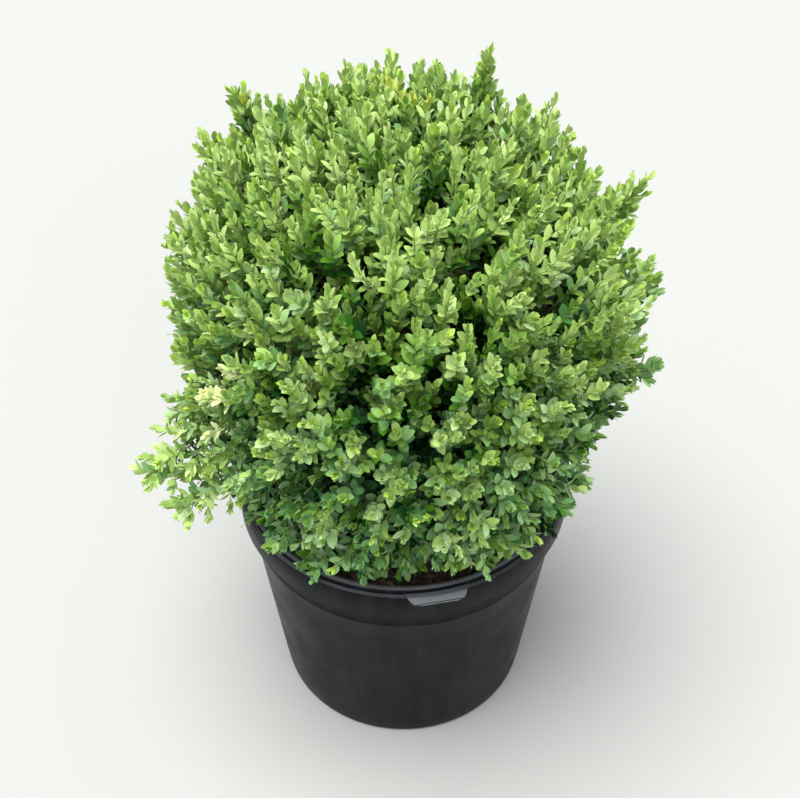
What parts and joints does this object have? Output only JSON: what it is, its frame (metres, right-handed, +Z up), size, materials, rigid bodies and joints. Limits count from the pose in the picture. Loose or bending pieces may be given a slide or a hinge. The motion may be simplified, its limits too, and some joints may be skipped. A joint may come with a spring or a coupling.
{
  "type": "box topiary ball in a nursery pot",
  "caption": "Loosely clipped evergreen box ball with small rounded leaves on a short forking stem, growing in a round black plastic nursery pot filled with bark potting mix.",
  "frame": {"origin": "middle of the pot's flat underside, which stands on the ground", "axes": "+Z up along the pot's axis, -Y towards the front of the plant"},
  "size_m": [0.5515, 0.5046, 0.7548],
  "materials": {
    "pot_plastic": "black moulded plastic with a satin sheen, a little dust on its rim and two grips",
    "potting_mix": "composted bark chips with straw-coloured fibres and a little moss",
    "bark": "pale grey-brown corky bark",
    "foliage_top": "bright yellow-green new leaves with a soft gloss",
    "foliage_side": "mid green leathery leaves with a soft gloss"
  },
  "bodies": {
    "root": {"pot": "pot_plastic", "potting_mix": "potting_mix", "trunk": "bark", "bough_1": "bark", "bough_2": "bark", "bough_3": "bark", "bough_4": "bark", "bough_5": "bark", "foliage_top": "foliage_top", "foliage_side_1": "foliage_side", "foliage_side_2": "foliage_side", "foliage_side_3": "foliage_side", "foliage_side_4": "foliage_side", "foliage_side_5": "foliage_side"}
  },
  "joints": []
}
